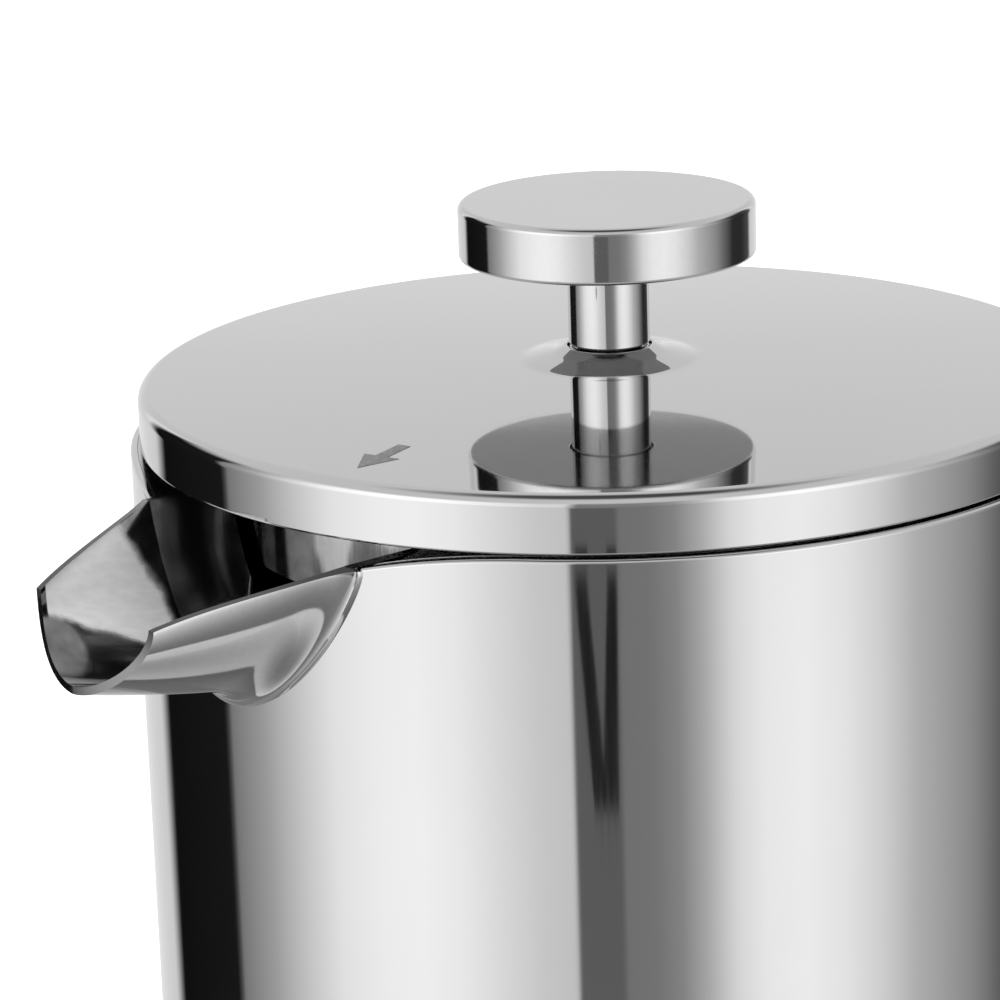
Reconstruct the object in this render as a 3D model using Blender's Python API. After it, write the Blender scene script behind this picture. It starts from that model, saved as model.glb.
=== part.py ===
# Double-walled stainless steel coffee press with a plunger.
# Metres, +Z up.  Origin: centre of the flat base, on the axis of the pot.
# The pouring spout points along -X and the handle stands on the +X side.
import bpy
import bmesh
import math
from math import cos, sin, pi, radians, sqrt
from mathutils import Vector

# ---------------------------------------------------------------- dimensions
MM = 0.001
GAP = 0.3              # clearance between touching pieces

BODY_R = 55.1          # outside of the pot wall
SHELL_T = 0.8          # sheet thickness of the outer wall
RIM_Z = 180.0          # top of the pot's rim, away from the spout
FOOT_R = 3.0           # round at the bottom edge of the outer wall
BASE_R = 50.6          # edge of the base plate

LINER_RI = 45.0        # inside of the coffee chamber
LINER_T = 0.8
LINER_FLOOR = 8.0      # underside of the chamber floor
LEDGE_R = 54.0         # outer edge of the flat lip at the top of the liner

RIM_DIP = 2.35         # the rim falls this much beside the spout
DIP_FROM = 19.9        # degrees from the spout axis where the weld starts
DIP_TO = 40.0          # degrees from the spout axis where the rim is level

LID_Z = 186.7          # top edge of the lid
LID_R = 54.0
LID_SKIRT = 6.4
LID_T = 0.8
LID_DOME = 1.2         # rise of the lid's centre over its edge
RING_R = 44.0          # outside of the ring below the lid
RING_T = 0.8
RING_DROP = 16.9
ARROW_DEG = 196.45     # direction of the pouring mark, from +X

SPOUT_REACH = 19.9     # length of the spout along X
SPOUT_T = 0.9
SPOUT_W0, SPOUT_W1 = 18.75, 10.84      # half widths at the wall and at the lip
SPOUT_TOP0, SPOUT_TOP1 = -8.85, -13.0  # upper edges, below the lid's edge
SPOUT_BOT0, SPOUT_BOT1 = -25.3, -21.45  # bottom of the channel, same datum
FLARE_H, FLARE_L = 2.1, 5.0            # blend of the spout into the wall

ROD_R = 2.4
BORE_R = 2.75
KNOB_R = 16.9
KNOB_TOP = 19.5        # above the lid's edge
KNOB_T = 6.3
NECK_R = 4.65
NECK_BOTTOM = 2.9      # above the lid's edge

FILTER_Z = 24.0        # underside of the cross plate, plunger down
SCREEN_R = 44.2

HANDLE_X = 47.0        # how far the grip's centre line stands out
HANDLE_Z0, HANDLE_Z1 = 50.0, 158.0     # lower and upper end of the centre line
HANDLE_HW, HANDLE_HT = 11.0, 6.0       # half width and half thickness
HANDLE_SHEET = 1.2

# ---------------------------------------------------------------- start clean
for ob in list(bpy.data.objects):
    bpy.data.objects.remove(ob, do_unlink=True)


# ---------------------------------------------------------------- helpers
def steel(name, colour, rough, metallic=1.0):
    m = bpy.data.materials.new(name)
    m.use_nodes = True
    b = m.node_tree.nodes["Principled BSDF"]
    b.inputs["Base Color"].default_value = (*colour, 1.0)
    b.inputs["Roughness"].default_value = rough
    b.inputs["Metallic"].default_value = metallic
    return m


def add_object(name, bm, mat, parent=None, smooth=30.0):
    bmesh.ops.recalc_face_normals(bm, faces=bm.faces)
    me = bpy.data.meshes.new(name)
    bm.to_mesh(me)
    bm.free()
    me.materials.append(mat)
    me.shade_smooth()
    me.set_sharp_from_angle(angle=radians(smooth))
    ob = bpy.data.objects.new(name, me)
    bpy.context.scene.collection.objects.link(ob)
    if parent is not None:
        ob.parent = parent
    return ob


def axis_empty(name):
    e = bpy.data.objects.new(name, None)
    e.empty_display_size = 0.02
    bpy.context.scene.collection.objects.link(e)
    return e


def even(n):
    return [2 * pi * i / n for i in range(n)]


def fine_near_spout(step_fine=4.0, step=7.5, half=52.0):
    """Angles round the pot, closer together beside the spout (180 degrees)."""
    out = []
    a = 180.0 - half
    while a < 180.0 + half - 1e-6:
        out.append(a)
        a += step_fine
    rest = 360.0 - 2 * half
    n = int(round(rest / step))
    out += [180.0 + half + rest * i / n for i in range(n)]
    return [radians(v % 360.0) for v in sorted(v % 360.0 for v in out)]


def turned(bm, profile, angles, z_shift=None):
    """Turn a closed profile of (radius, z[, follows_rim]) round Z."""
    rings = []
    for p in profile:
        r, z = p[0], p[1]
        moves = len(p) > 2 and p[2]
        if r < 1e-9:
            rings.append([bm.verts.new((0, 0, z * MM))])
            continue
        ring = []
        for a in angles:
            dz = z_shift(a) if (moves and z_shift) else 0.0
            ring.append(bm.verts.new((r * cos(a) * MM, r * sin(a) * MM,
                                      (z + dz) * MM)))
        rings.append(ring)
    n = len(angles)
    m = len(rings)
    for j in range(m):
        A, B = rings[j], rings[(j + 1) % m]
        if len(A) == 1 and len(B) == 1:
            continue
        for i in range(n):
            k = (i + 1) % n
            if len(A) == 1:
                bm.faces.new((A[0], B[k], B[i]))
            elif len(B) == 1:
                bm.faces.new((A[i], A[k], B[0]))
            else:
                bm.faces.new((A[i], A[k], B[k], B[i]))


def lathe(name, profile, mat, angles, parent=None, z_shift=None):
    bm = bmesh.new()
    turned(bm, profile, angles, z_shift)
    return add_object(name, bm, mat, parent)


def channel(name, outer, inner, mat, parent=None):
    """Closed sheet between two equal grids of points (lists of rows)."""
    bm = bmesh.new()
    A = [[bm.verts.new(Vector(p) * MM) for p in row] for row in outer]
    B = [[bm.verts.new(Vector(p) * MM) for p in row] for row in inner]
    rows, cols = len(A), len(A[0])
    for G in (A, B):
        for j in range(rows - 1):
            for i in range(cols - 1):
                bm.faces.new((G[j][i], G[j][i + 1], G[j + 1][i + 1], G[j + 1][i]))
    for i in range(cols - 1):
        for j in (0, rows - 1):
            bm.faces.new((A[j][i], A[j][i + 1], B[j][i + 1], B[j][i]))
    for j in range(rows - 1):
        for i in (0, cols - 1):
            bm.faces.new((A[j][i], A[j + 1][i], B[j + 1][i], B[j][i]))
    return add_object(name, bm, mat, parent)


def cutter(name, bm):
    bmesh.ops.recalc_face_normals(bm, faces=bm.faces)
    me = bpy.data.meshes.new(name)
    bm.to_mesh(me)
    bm.free()
    ob = bpy.data.objects.new(name, me)
    bpy.context.scene.collection.objects.link(ob)
    ob.hide_render = True
    ob.display_type = 'WIRE'
    return ob


def cut(ob, tool):
    mod = ob.modifiers.new("cut_" + tool.name, 'BOOLEAN')
    mod.operation = 'DIFFERENCE'
    mod.solver = 'EXACT'
    mod.object = tool
    return mod


def hexagon(name, r_in, r_hex, z0, z1, mat, parent):
    """Hexagonal nut with a round bore."""
    bm = bmesh.new()
    n = 24
    lo_o, lo_i, hi_o, hi_i = [], [], [], []
    for i in range(n):
        a = 2 * pi * i / n
        # distance to the flat of a regular hexagon in this direction
        b = (a + pi / 6) % (pi / 3) - pi / 6
        rr = r_hex * cos(pi / 6) / cos(b)
        for lst, r, z in ((lo_o, rr, z0), (lo_i, r_in, z0),
                          (hi_o, rr, z1), (hi_i, r_in, z1)):
            lst.append(bm.verts.new((r * cos(a) * MM, r * sin(a) * MM, z * MM)))
    for i in range(n):
        k = (i + 1) % n
        bm.faces.new((lo_o[i], lo_o[k], hi_o[k], hi_o[i]))
        bm.faces.new((lo_i[i], lo_i[k], hi_i[k], hi_i[i]))
        bm.faces.new((lo_o[i], lo_o[k], lo_i[k], lo_i[i]))
        bm.faces.new((hi_o[i], hi_o[k], hi_i[k], hi_i[i]))
    return add_object(name, bm, mat, parent)


# ---------------------------------------------------------------- materials
polished = (0.62, 0.62, 0.63)
m_shell = steel("polished_shell", polished, 0.06)
m_liner = steel("satin_liner", (0.55, 0.55, 0.56), 0.28)
m_base = steel("satin_base", (0.52, 0.52, 0.53), 0.35)
m_spout = steel("polished_spout", polished, 0.10)
m_handle_o = steel("polished_grip_outside", polished, 0.08)
m_handle_i = steel("polished_grip_inside", polished, 0.12)
m_pad_u = steel("weld_pad_upper", polished, 0.12)
m_pad_l = steel("weld_pad_lower", polished, 0.12)
m_lid = steel("polished_lid", (0.64, 0.64, 0.65), 0.06)
m_ring = steel("satin_ring", (0.58, 0.58, 0.59), 0.18)
m_bush = steel("bright_bush", (0.60, 0.60, 0.60), 0.15)
m_gnut = steel("plain_nut", (0.50, 0.50, 0.50), 0.30)
m_rubber = steel("black_rubber", (0.02, 0.02, 0.02), 0.60, 0.0)
m_knob = steel("brushed_knob", (0.62, 0.62, 0.63), 0.16)
m_neck = steel("brushed_neck", (0.60, 0.60, 0.61), 0.20)
m_rod = steel("ground_rod", (0.60, 0.60, 0.61), 0.12)
m_lock = steel("lock_nut", (0.50, 0.50, 0.50), 0.30)
m_spiral = steel("pressed_plate", (0.58, 0.58, 0.58), 0.22)
m_coil = steel("spring_wire", (0.55, 0.55, 0.55), 0.20)
m_mesh = steel("woven_wire", (0.45, 0.45, 0.45), 0.45)
m_cross = steel("pressed_cross", (0.58, 0.58, 0.58), 0.22)
m_fnut = steel("filter_nut", (0.56, 0.56, 0.56), 0.25)

# parent empties, one for each group that moves
guide_axis = axis_empty("axis_lid_lift")
lid_axis = axis_empty("axis_lid_turn")
bumper_axis = axis_empty("axis_plunger_slide")
plunger_axis = axis_empty("axis_plunger_turn")
lid_axis.parent = guide_axis
bumper_axis.parent = guide_axis
plunger_axis.parent = bumper_axis


# ---------------------------------------------------------------- pot
def rim_shift(a):
    """How far the rim falls at angle a (radians from +X)."""
    d = abs((math.degrees(a) - 180.0 + 180.0) % 360.0 - 180.0)
    if d >= DIP_TO:
        return 0.0
    t = min(1.0, (DIP_TO - d) / (DIP_TO - DIP_FROM))
    return -RIM_DIP * t ** 2.1


ANG = fine_near_spout()
RO, RI = BODY_R, BODY_R - SHELL_T
IN = FOOT_R - SHELL_T
shell_profile = []
shell_profile.append((RI, RIM_Z, True))
shell_profile.append((RO - 0.45, RIM_Z, True))
shell_profile.append((RO - 0.12, RIM_Z - 0.15, True))
shell_profile.append((RO, RIM_Z - 0.5, True))
for k in range(4):
    t = pi / 2 * k / 3
    shell_profile.append((RO - FOOT_R + FOOT_R * cos(t), FOOT_R - FOOT_R * sin(t)))
shell_profile.append((BASE_R + GAP, 0.0))
shell_profile.append((BASE_R + GAP, SHELL_T))
for k in range(4):
    t = pi / 2 * (3 - k) / 3
    shell_profile.append((RO - FOOT_R + IN * cos(t), FOOT_R - IN * sin(t)))
outer_shell = lathe("outer_shell", shell_profile, m_shell, ANG, z_shift=rim_shift)

WI, WO = LINER_RI, LINER_RI + LINER_T
F = LINER_FLOOR
liner_profile = [
    (0.0, F), (WO - 5.0, F), (WO - 1.6, F + 1.4), (WO, F + 4.9),
    (WO, RIM_Z - 3.0, True), (WO + 0.5, RIM_Z - 1.5, True),
    (WO + 1.7, RIM_Z - LINER_T, True), (LEDGE_R, RIM_Z - LINER_T, True),
    (LEDGE_R, RIM_Z, True), (WI + 2.3, RIM_Z, True), (WI + 0.9, RIM_Z - 0.5, True),
    (WI + 0.15, RIM_Z - 1.6, True), (WI, RIM_Z - 3.0, True),
    (WI, F + 5.1), (WI - 1.5, F + 2.1), (WI - 4.5, F + LINER_T), (0.0, F + LINER_T)]
inner_liner = lathe("inner_liner", liner_profile, m_liner, ANG, z_shift=rim_shift)

base_profile = [(0.0, 0.0), (47.6, 0.0), (BASE_R, 0.0), (BASE_R, 0.9),
                (46.8, 0.9), (0.0, 0.9)]
lathe("base_plate", base_profile, m_base, even(48))


# ---------------------------------------------------------------- spout
def section(t, phi, off=0.0):
    """Half width and height on the spout's outer skin.
    t runs from the wall (0) to the lip (1), phi from -90 to 90 degrees."""
    w = SPOUT_W0 + (SPOUT_W1 - SPOUT_W0) * t
    top = SPOUT_TOP0 + (SPOUT_TOP1 - SPOUT_TOP0) * (0.84 * t + 0.16 * t ** 5)
    bot = SPOUT_BOT0 + (SPOUT_BOT1 - SPOUT_BOT0) * t ** 1.3
    p = 1.95 + (1.73 - 1.95) * t
    q = 1.10 + (1.73 - 1.10) * t

    def at(f):
        s, c = sin(f), max(cos(f), 0.0)
        return (w * math.copysign(abs(s) ** (2 / p), s),
                top - (top - bot) * c ** (2 / q))
    y, z = at(phi)
    if off:
        e = 0.02
        f0, f1 = max(phi - e, -pi / 2), min(phi + e, pi / 2)
        y0, z0 = at(f0)
        y1, z1 = at(f1)
        dy, dz = y1 - y0, z1 - z0
        ln = sqrt(dy * dy + dz * dz) or 1.0
        # the outside of the U lies to the right of the direction of travel
        y, z = y + off * dz / ln, z - off * dy / ln
    return y, z


def flare(s, phi):
    """Extra outward offset at distance s from the wall."""
    h = FLARE_H * max(cos(phi), 0.0) ** 0.8
    if s >= FLARE_L:
        return 0.0
    return h * (1.0 - sqrt(max(0.0, 1.0 - (1.0 - s / FLARE_L) ** 2)))


PHIS = [-pi / 2 + pi * i / 22 for i in range(23)]
SKIN_R = BODY_R + GAP


def out_point(t, phi, off):
    y, z = section(t, phi, off)
    yr, _ = section(0.0, phi, off if t == 0.0 else 0.0)
    x = sqrt(SKIN_R ** 2 - yr ** 2) + SPOUT_REACH * t
    return (-x, y, LID_Z + z)


def throat_point(phi, off, r):
    y, z = section(0.0, phi, off)
    return (-sqrt(r * r - y * y), y, LID_Z + z)


LIP_IN = LINER_RI + 0.1
outer_rows = [[throat_point(p, 0.0, LIP_IN) for p in PHIS],
              [throat_point(p, 0.0, SKIN_R) for p in PHIS]]
for s in (0.0, 0.5, 1.3, 2.4, 3.6, 5.0):
    outer_rows.append([out_point(s / SPOUT_REACH, p, flare(s, p) + 1e-3)
                       for p in PHIS])
for t in (0.42, 0.60, 0.78, 0.90, 1.0):
    outer_rows.append([out_point(t, p, 0.0) for p in PHIS])
inner_rows = [[throat_point(p, -SPOUT_T, LIP_IN) for p in PHIS],
              [throat_point(p, -SPOUT_T, SKIN_R) for p in PHIS]]
for s in (0.0, 0.5, 1.3, 2.4, 3.6, 5.0):
    inner_rows.append([out_point(s / SPOUT_REACH + 0.004, p, -SPOUT_T)
                       for p in PHIS])
for t in (0.42, 0.60, 0.78, 0.90, 1.0):
    inner_rows.append([out_point(t, p, -SPOUT_T) for p in PHIS])
spout = channel("spout", outer_rows, inner_rows, m_spout)

# opening through both walls, the gap wider than the spout's throat
bm = bmesh.new()
face = []
prof = [section(0.0, p, GAP + 0.05) for p in PHIS]
prof = [(prof[0][0], 12.0)] + prof + [(prof[-1][0], 12.0)]
lo = [bm.verts.new((-36.0 * MM, y * MM, (LID_Z + z) * MM)) for y, z in prof]
hi = [bm.verts.new((-62.0 * MM, y * MM, (LID_Z + z) * MM)) for y, z in prof]
bm.faces.new(lo)
bm.faces.new(hi[::-1])
for i in range(len(lo)):
    k = (i + 1) % len(lo)
    bm.faces.new((lo[i], lo[k], hi[k], hi[i]))
mouth = cutter("mouth_cutter", bm)
cut(outer_shell, mouth)
cut(inner_liner, mouth)


# ---------------------------------------------------------------- handle
def grip_centre(u):
    """Centre line of the grip; u runs 0 (top end) to 1 (bottom end)."""
    a = pi / 2 - pi * u
    zc = (HANDLE_Z0 + HANDLE_Z1) / 2
    b = (HANDLE_Z1 - HANDLE_Z0) / 2
    e = 2.0 / 2.7
    c, s = max(cos(a), 0.0), sin(a)
    return (BODY_R + HANDLE_X * c ** e, zc + b * math.copysign(abs(s) ** e, s))


def grip_frame(u):
    x0, z0 = grip_centre(max(u - 0.004, 0.0))
    x1, z1 = grip_centre(min(u + 0.004, 1.0))
    ln = sqrt((x1 - x0) ** 2 + (z1 - z0) ** 2)
    tx, tz = (x1 - x0) / ln, (z1 - z0) / ln
    return -tz, tx          # outward normal of the loop


PAD_R = BODY_R + GAP + 1.5


def grip_point(u, f, shrink):
    """f is the angle in the section: 90 degrees faces away from the pot."""
    x, z = grip_centre(u)
    nx, nz = grip_frame(u)
    hw, ht = HANDLE_HW - shrink, HANDLE_HT - shrink
    e = 2.0 / 2.6
    y = hw * math.copysign(abs(cos(f)) ** e, cos(f))
    d = ht * math.copysign(abs(sin(f)) ** e, sin(f))
    px, pz = x + nx * d, z + nz * d
    if u in (0.0, 1.0):
        px = sqrt((PAD_R + GAP) ** 2 - y * y)
    return (px, y, pz)


US = [0.0, 0.03, 0.07, 0.12, 0.18, 0.24, 0.31, 0.40, 0.50,
      0.60, 0.69, 0.76, 0.82, 0.88, 0.93, 0.97, 1.0]
HALF = [radians(3.0 + 174.0 * i / 12) for i in range(13)]
for nm, sign, mt in (("handle_outer_shell", 1, m_handle_o),
                     ("handle_inner_shell", -1, m_handle_i)):
    o = [[grip_point(u, sign * f, 0.0) for f in HALF] for u in US]
    i_ = [[grip_point(u, sign * f, HANDLE_SHEET) for f in HALF] for u in US]
    channel(nm, o, i_, mt)


def pad(name, zc, mat):
    """Oval pad bent to the pot's wall, under one end of the handle."""
    bm = bmesh.new()
    n = 24
    sides = []
    for r, grow in ((BODY_R + GAP, 0.0), (PAD_R, -0.6)):
        c = bm.verts.new((r * MM, 0, zc * MM))
        rings = []
        for f in (0.5, 1.0):
            ring = []
            for i in range(n):
                a = 2 * pi * i / n
                y = (14.0 + grow) * f * cos(a)
                z = zc + (9.0 + grow) * f * sin(a)
                ring.append(bm.verts.new((sqrt(r * r - y * y) * MM, y * MM, z * MM)))
            rings.append(ring)
        sides.append((c, rings))
    for c, rings in sides:
        for i in range(n):
            k = (i + 1) % n
            bm.faces.new((c, rings[0][i], rings[0][k]))
            bm.faces.new((rings[0][i], rings[0][k], rings[1][k], rings[1][i]))
    a, b = sides[0][1][1], sides[1][1][1]
    for i in range(n):
        k = (i + 1) % n
        bm.faces.new((a[i], a[k], b[k], b[i]))
    return add_object(name, bm, mat)


pad("handle_upper_pad", HANDLE_Z1, m_pad_u)
pad("handle_lower_pad", HANDLE_Z0, m_pad_l)


# ---------------------------------------------------------------- lid
def dome(r):
    return LID_Z + LID_DOME * (1.0 - (r / 53.0) ** 2)


T = LID_T
lid_profile = [
    (4.25, LID_Z + 1.60), (4.9, LID_Z + 1.60), (5.2, LID_Z + 2.44),
    (6.4, LID_Z + 2.02), (9.8, dome(9.8)), (22.0, dome(22.0)),
    (38.0, dome(38.0)), (52.7, dome(52.7)), (53.35, LID_Z - 0.12),
    (53.8, LID_Z - 0.5), (LID_R, LID_Z - 1.1), (LID_R, LID_Z - LID_SKIRT + 0.35),
    (LID_R - 0.25, LID_Z - LID_SKIRT), (LID_R - T, LID_Z - LID_SKIRT),
    (LID_R - T, LID_Z - 1.5), (LID_R - T - 0.8, LID_Z - 0.8),
    (30.0, dome(30.0) - T), (8.8, dome(8.8) - T), (4.25, LID_Z + 0.75)]
lathe("lid_cover", lid_profile, m_lid, even(64), lid_axis)

RT = LID_Z - 1.9
ring_profile = [
    (RING_R, LID_Z - RING_DROP), (RING_R, RT), (RING_R + 3.5, RT),
    (RING_R + 3.5, RT + 0.8),
    (RING_R - RING_T, RT + 0.8), (RING_R - RING_T, LID_Z - RING_DROP)]
ring = lathe("lid_inner_ring", ring_profile, m_ring, even(64), lid_axis)
# a row of strainer holes beside the pouring mark
bm = bmesh.new()
for i in range(5):
    a = radians(ARROW_DEG + 7.0 + (i - 2) * 5.0)
    lo, hi = [], []
    for j in range(8):
        b = 2 * pi * (j + 0.5) / 8
        dy, dz = 1.0 * cos(b), 1.0 * sin(b)
        for lst, r in ((lo, RING_R - 3.0), (hi, RING_R + 3.0)):
            lst.append(bm.verts.new(((r * cos(a) - dy * sin(a)) * MM,
                                     (r * sin(a) + dy * cos(a)) * MM,
                                     (LID_Z - 14.4 + dz) * MM)))
    bm.faces.new(lo)
    bm.faces.new(hi[::-1])
    for j in range(8):
        k = (j + 1) % 8
        bm.faces.new((lo[j], lo[k], hi[k], hi[j]))
cut(ring, cutter("strainer_cutter", bm))

# bush that guides the rod: lip above the lid, thread and nut below it
bush_profile = [
    (BORE_R, LID_Z - 6.0), (3.95, LID_Z - 6.0), (3.95, LID_Z + 1.9),
    (4.55, LID_Z + 1.9), (4.55, LID_Z + 2.42), (4.4, LID_Z + 2.57),
    (4.1, LID_Z + 2.57), (4.1, LID_Z + 2.3), (BORE_R, LID_Z + 2.3)]
lathe("rod_guide_bush", bush_profile, m_bush, even(24), guide_axis)
hexagon("guide_nut", 4.25, 7.5, LID_Z - 3.6, LID_Z + 0.1, m_gnut, guide_axis)

# ---------------------------------------------------------------- plunger
bumper_profile = [
    (BORE_R, LID_Z + 2.6), (3.8, LID_Z + 2.6), (3.8, LID_Z + 3.7),
    (BORE_R, LID_Z + 3.7)]
lathe("knob_bumper", bumper_profile, m_rubber, even(24), bumper_axis)

NB = LID_Z + NECK_BOTTOM
KB = LID_Z + KNOB_TOP - KNOB_T
neck_profile = [
    (BORE_R, LID_Z + 4.0), (4.15, LID_Z + 4.0), (4.15, NB), (4.4, NB),
    (NECK_R, NB + 0.3), (NECK_R, KB + 0.7), (BORE_R, KB + 0.7)]
lathe("knob_stem", neck_profile, m_neck, even(32), plunger_axis)

KT = LID_Z + KNOB_TOP
knob_profile = [
    (0.0, KT), (KNOB_R - 1.1, KT), (KNOB_R - 0.45, KT - 0.18),
    (KNOB_R - 0.1, KT - 0.6), (KNOB_R, KT - 1.2), (KNOB_R, KB + 1.1),
    (KNOB_R - 0.15, KB + 0.5), (KNOB_R - 0.55, KB + 0.12), (KNOB_R - 1.1, KB),
    (NECK_R + GAP, KB), (NECK_R + GAP, KB + 1.0), (ROD_R + GAP, KB + 1.0),
    (ROD_R + GAP, KB + 4.6), (0.0, KB + 4.6)]
lathe("knob_cap", knob_profile, m_knob, even(36), plunger_axis)

FZ = FILTER_Z
rod_profile = [(0.0, FZ - 7.0), (ROD_R - 0.4, FZ - 7.0), (ROD_R, FZ - 6.6),
               (ROD_R, KB + 3.9), (ROD_R - 0.4, KB + 4.3), (0.0, KB + 4.3)]
lathe("plunger_rod", rod_profile, m_rod, even(24), plunger_axis)


def plate(name, r_in, r_out, z0, z1, mat, n=40):
    prof = [(r_in, z0), (r_out, z0), (r_out, z1), (r_in, z1)]
    return lathe(name, prof, mat, even(n), plunger_axis)


def hole_cutter(name, rows, z0, z1):
    """rows: (count, pitch radius, hole radius, first angle, length)."""
    bm = bmesh.new()
    for count, pr, hr, first, length in rows:
        for i in range(count):
            a = 2 * pi * i / count + first
            lo, hi = [], []
            for j in range(8):
                b = 2 * pi * (j + 0.5) / 8
                u, v = hr * cos(b), hr * sin(b)
                u += math.copysign(length / 2, u)
                x = (pr + u) * cos(a) - v * sin(a)
                y = (pr + u) * sin(a) + v * cos(a)
                lo.append(bm.verts.new((x * MM, y * MM, z0 * MM)))
                hi.append(bm.verts.new((x * MM, y * MM, z1 * MM)))
            bm.faces.new(lo)
            bm.faces.new(hi[::-1])
            for j in range(8):
                k = (j + 1) % 8
                bm.faces.new((lo[j], lo[k], hi[k], hi[j]))
    return cutter(name, bm)


hexagon("filter_nut", ROD_R + GAP, 7.0, FZ - 5.0, FZ - 0.3, m_fnut, plunger_axis)
cross = plate("cross_plate", ROD_R + GAP, 41.8, FZ, FZ + 0.9, m_cross)
cut(cross, hole_cutter("cross_cutter", [(6, 14.0, 2.6, 0.0, 3.0),
                                        (8, 29.0, 3.2, 0.2, 9.0)], FZ - 3, FZ + 4))
plate("mesh_screen", ROD_R + GAP, SCREEN_R, FZ + 1.2, FZ + 1.6, m_mesh)
top_plate = plate("spiral_plate", ROD_R + GAP, 41.2, FZ + 2.0, FZ + 2.9, m_spiral)
cut(top_plate, hole_cutter("spiral_cutter", [(12, 34.5, 1.8, 0.1, 5.0),
                                             (6, 19.0, 2.2, 0.3, 5.0)], FZ, FZ + 6))
hexagon("rod_lock_nut", ROD_R + GAP, 6.5, FZ + 3.2, FZ + 7.0, m_lock, plunger_axis)

# springy coil round the edge of the filter, its outer envelope as one ring
coil_profile = [(42.85 + 1.25 * cos(2 * pi * k / 6), FZ + 3.2 + 1.25 * sin(2 * pi * k / 6))
                for k in range(6)]
lathe("coil_spring", coil_profile, m_coil, even(48), plunger_axis)
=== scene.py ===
import bpy
import bmesh
import math
import random
from math import sin, cos, pi, sqrt, radians, degrees, atan2
from mathutils import Vector, Matrix


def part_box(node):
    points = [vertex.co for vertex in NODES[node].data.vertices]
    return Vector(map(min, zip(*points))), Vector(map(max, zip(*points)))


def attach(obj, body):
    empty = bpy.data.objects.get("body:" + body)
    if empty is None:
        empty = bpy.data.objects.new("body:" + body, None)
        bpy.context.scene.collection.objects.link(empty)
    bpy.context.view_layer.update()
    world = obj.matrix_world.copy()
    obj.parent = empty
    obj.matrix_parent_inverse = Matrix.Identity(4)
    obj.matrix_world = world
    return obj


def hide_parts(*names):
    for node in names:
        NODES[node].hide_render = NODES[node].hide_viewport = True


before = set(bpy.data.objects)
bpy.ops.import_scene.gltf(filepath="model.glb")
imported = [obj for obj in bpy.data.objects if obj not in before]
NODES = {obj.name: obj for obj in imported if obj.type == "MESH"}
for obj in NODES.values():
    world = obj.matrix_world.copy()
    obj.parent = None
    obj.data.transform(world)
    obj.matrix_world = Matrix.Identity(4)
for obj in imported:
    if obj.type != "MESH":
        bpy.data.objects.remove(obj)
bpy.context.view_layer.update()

MM = 0.001


def box(n):
    lo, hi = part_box(n)
    return [v / MM for v in lo], [v / MM for v in hi]


# ------------------------------------------------------------------ measures from the frame (mm)
SH_LO, SH_HI = box("outer_shell")
RO = SH_HI[1]                      # pot radius
RIM = SH_HI[2]
LD_LO, LD_HI = box("lid_cover")
LID_R = LD_HI[1]
SKIRT = 6.4
LZ = LD_LO[2] + SKIRT              # top edge plane of the lid
RG_LO, RG_HI = box("lid_inner_ring")
RING_FL = RG_HI[1]
RING_R = RING_FL - 3.5
LN_LO, LN_HI = box("inner_liner")
SP_LO, SP_HI = box("spout")
KN_LO, KN_HI = box("knob_cap")
ST_LO, ST_HI = box("knob_stem")
RD_LO, RD_HI = box("plunger_rod")
BU_LO, BU_HI = box("rod_guide_bush")
BP_LO, BP_HI = box("base_plate")
CS_LO, CS_HI = box("coil_spring")
MS_LO, MS_HI = box("mesh_screen")
FZ = box("cross_plate")[0][2]

WALL = 0.8
LI = 45.0                          # chamber radius
LT = 0.8
VIEW_DEG = -131.0                  # direction from the pot's axis to the camera


# ------------------------------------------------------------------ mesh helpers
def rounded(points, k=6):
    """Closed (r, z) outline; a third value rounds that corner, a fourth is kept as a flag."""
    out = []
    n = len(points)
    for i, p in enumerate(points):
        rad = p[2] if len(p) > 2 else 0.0
        flag = p[3] if len(p) > 3 else 0
        if rad <= 0:
            out.append((p[0], p[1], flag))
            continue
        a, b = points[i - 1], points[(i + 1) % n]
        P = Vector((p[0], p[1]))
        u = (Vector((a[0], a[1])) - P)
        v = (Vector((b[0], b[1])) - P)
        lu, lv = u.length, v.length
        u.normalize()
        v.normalize()
        ang = u.angle(v)
        if ang > pi - 1e-3:
            out.append((p[0], p[1], flag))
            continue
        d = rad / math.tan(ang / 2)
        lim = 0.49 * min(lu, lv)
        if d > lim:
            d = lim
            rad = d * math.tan(ang / 2)
        c = P + (u + v).normalized() * (rad / sin(ang / 2))
        s, e = P + u * d - c, P + v * d - c
        a0 = atan2(s.y, s.x)
        a1 = atan2(e.y, e.x)
        da = (a1 - a0 + pi) % (2 * pi) - pi
        for j in range(k + 1):
            t = a0 + da * j / k
            out.append((c.x + rad * cos(t), c.y + rad * sin(t), flag))
    return out


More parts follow.
